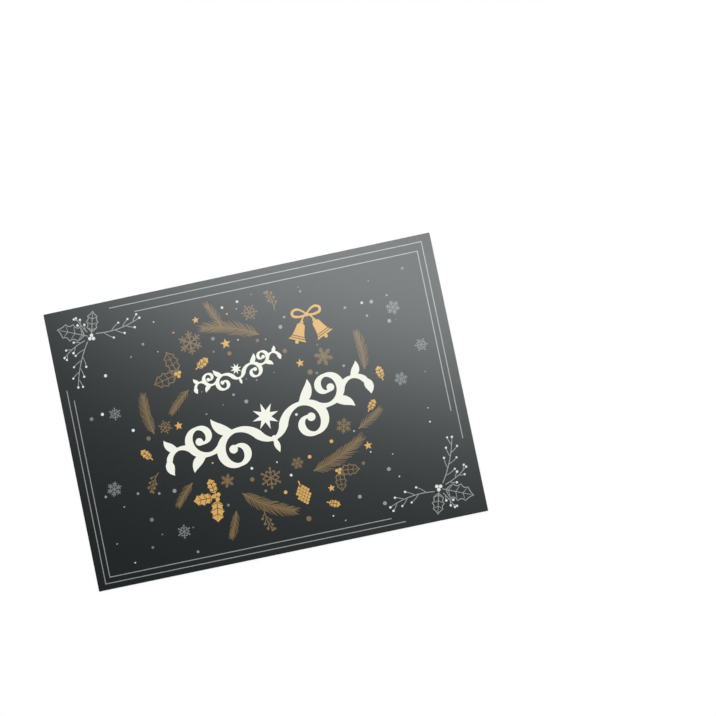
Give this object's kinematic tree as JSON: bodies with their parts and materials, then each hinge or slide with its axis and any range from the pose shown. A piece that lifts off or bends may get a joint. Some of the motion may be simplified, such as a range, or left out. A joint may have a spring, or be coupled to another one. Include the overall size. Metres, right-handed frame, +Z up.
{
  "type": "greeting card",
  "caption": "Flat rectangular greeting or invitation card of stiff board, printed on one side with a dark winter design.",
  "frame": {"origin": "under the middle of the card, on the unprinted back", "axes": "+X along the long side towards the printed design's right, +Y towards the design's head, +Z up out of the printed face"},
  "size_m": [0.1778, 0.127, 0.0004],
  "materials": {
    "card_board": "satin",
    "white_ink": "satin",
    "grey_ink": "satin",
    "gold_ink": "satin",
    "bronze_ink": "satin",
    "cream_ink": "satin"
  },
  "bodies": {
    "root": {"card": "card_board"}
  },
  "joints": []
}
